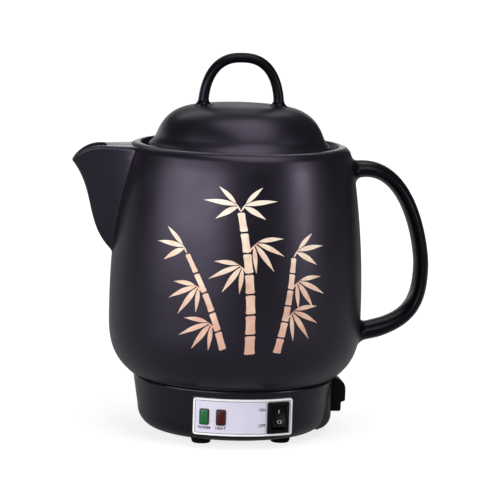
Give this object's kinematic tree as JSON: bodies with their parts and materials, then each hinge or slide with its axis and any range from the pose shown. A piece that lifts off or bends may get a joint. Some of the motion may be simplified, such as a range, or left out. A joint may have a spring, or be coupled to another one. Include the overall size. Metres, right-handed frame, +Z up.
{
  "type": "electric health kettle",
  "caption": "Black glazed ceramic decoction kettle with beak spout, side handle and lift-off looped lid, fixed on a round plastic heater base with rocker switch, lamps and power inlet.",
  "frame": {"origin": "middle of the footprint's box, on the surface that the feet stand on; the pot's axis is 10 mm towards -X from it", "axes": "+Z up, +X towards the handle and the power inlet, -X towards the spout, -Y towards the control plate"},
  "size_m": [0.254, 0.178, 0.2697],
  "materials": {
    "glaze": "satin",
    "base_plastic": "gloss",
    "cover_plastic": "matte",
    "seal_silicone": "matte",
    "foot_rubber": "matte",
    "steel": "satin",
    "cast_aluminium": "cast",
    "terminal_brass": "satin",
    "mica": "matte",
    "phenolic": "satin",
    "fuse_ceramic": "matte",
    "panel_foil": "satin",
    "green_lens": "gloss",
    "red_lens": "gloss",
    "bulb_glass": "clear",
    "switch_plastic": "satin",
    "inlet_plastic": "satin",
    "wire_brown": "satin",
    "wire_red": "satin",
    "wire_blue": "satin",
    "wire_green": "satin"
  },
  "bodies": {
    "kettle": {"pot_body": "glaze", "pot_spout": "glaze", "pot_handle": "glaze", "base_shell": "base_plastic", "bottom_cover": "cover_plastic", "seal_ring": "seal_silicone", "foot_front_left": "foot_rubber", "foot_front_right": "foot_rubber", "foot_rear_left": "foot_rubber", "foot_rear_right": "foot_rubber", "cover_screws": "steel", "center_stud": "steel", "stud_washer": "steel", "stud_nut": "steel", "pressure_plate": "steel", "thermostat_clip": "steel", "heating_plate": "cast_aluminium", "heater_terminals": "terminal_brass", "switch_common": "terminal_brass", "switch_contact": "terminal_brass", "inlet_pins": "terminal_brass", "insulation_pad": "mica", "thermostat": "phenolic", "thermal_fuse": "fuse_ceramic", "control_plate": "panel_foil", "warm_lamp_lens": "green_lens", "heat_lamp_lens": "red_lens", "warm_lamp_bulb": "bulb_glass", "heat_lamp_bulb": "bulb_glass", "switch_housing": "switch_plastic", "inlet_housing": "inlet_plastic", "wire_live": "wire_brown", "wire_switched": "wire_red", "wire_heater": "wire_red", "wire_fuse": "wire_red", "wire_neutral": "wire_blue", "wire_earth": "wire_green"},
    "lid": {"lid_dome": "glaze", "lid_loop": "glaze"},
    "rocker": {"switch_rocker": "switch_plastic"},
    "contact_blade": {"switch_blade": "terminal_brass"}
  },
  "joints": [
    {"name": "lid_lift", "type": "slide", "parent": "kettle", "child": "lid", "axis": [0, 0, 1], "range_m": [0, 0.12]},
    {"name": "rocker_tilt", "type": "hinge", "parent": "kettle", "child": "rocker", "pos_m": [0.01298, -0.06453, 0.02335], "axis": [0.9421, 0.3355, 0], "range_deg": [0, 18]},
    {"name": "blade_tilt", "type": "hinge", "parent": "kettle", "child": "contact_blade", "pos_m": [0.01056, -0.05775, 0.02335], "axis": [0.9421, 0.3355, 0], "range_deg": [-16.2, 0]}
  ],
  "couplings": [
    {"joint": "blade_tilt", "follows": "rocker_tilt", "ratio": -0.9}
  ]
}
